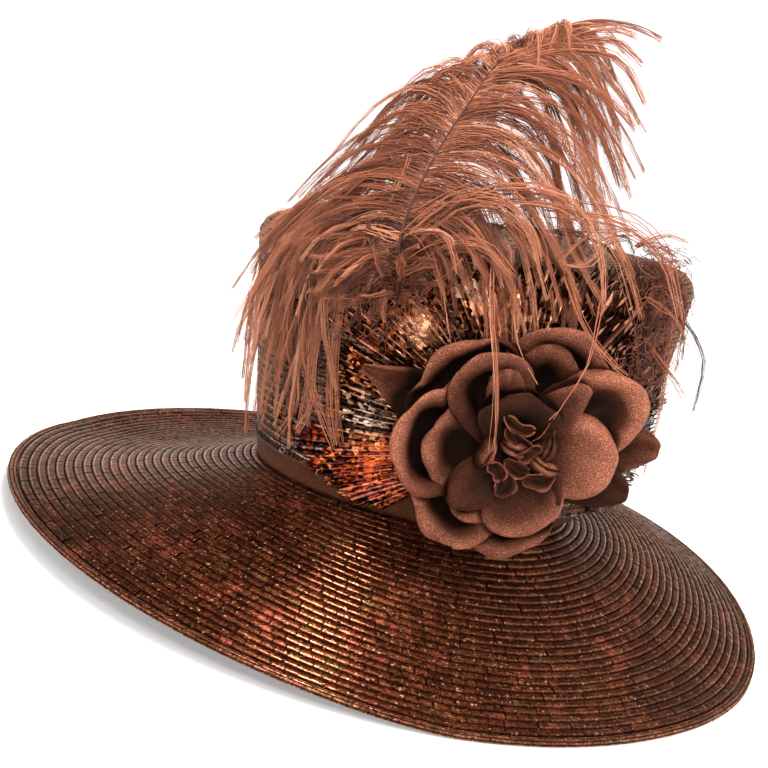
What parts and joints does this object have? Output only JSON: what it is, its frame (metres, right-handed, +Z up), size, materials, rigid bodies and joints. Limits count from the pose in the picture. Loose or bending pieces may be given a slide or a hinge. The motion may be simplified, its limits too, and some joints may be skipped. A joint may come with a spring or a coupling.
{
  "type": "wide-brimmed straw hat",
  "caption": "Wide-brimmed dress hat of metallic brown straw braid with a tall flared crown, satin band, pleated foil fans, a large satin rose and ostrich plumes.",
  "frame": {"origin": "on the surface that the rim rests on, under the middle of the whole hat", "axes": "+Z up, -Y towards the trimmed front, +X to the right of a person who looks at the front"},
  "size_m": [0.458, 0.4544, 0.3324],
  "materials": {
    "straw": "metallic foil straw braid, satin",
    "edge_braid": "metallic foil straw braid, satin",
    "ribbon": "satin",
    "band_braid": "looped braid, satin",
    "foil": "pleated metallic foil cloth, glossy",
    "satin": "satin",
    "feather": "soft"
  },
  "bodies": {
    "root": {"brim": "straw", "edge_row": "edge_braid", "crown": "straw", "ribbon_band": "ribbon", "band_cord": "band_braid", "fan_low_left": "foil", "fan_left": "foil", "fan_upper_left": "foil", "fan_top": "foil", "fan_upper_right": "foil", "fan_right": "foil", "fan_low_right": "foil", "petal_back_left": "satin", "petal_tail": "satin", "petal_low_right": "satin", "petal_top": "satin", "petal_upper_left": "satin", "petal_upper_right": "satin", "petal_bottom": "satin", "petal_lower_left": "satin", "petal_left": "satin", "petal_upper_mid": "satin", "petal_right": "satin", "petal_front": "satin", "petal_fold": "satin", "petal_inner_left": "satin", "petal_inner_top": "satin", "rose_heart": "satin", "plume_main": "feather", "plume_left": "feather", "plume_right": "feather"}
  },
  "joints": []
}
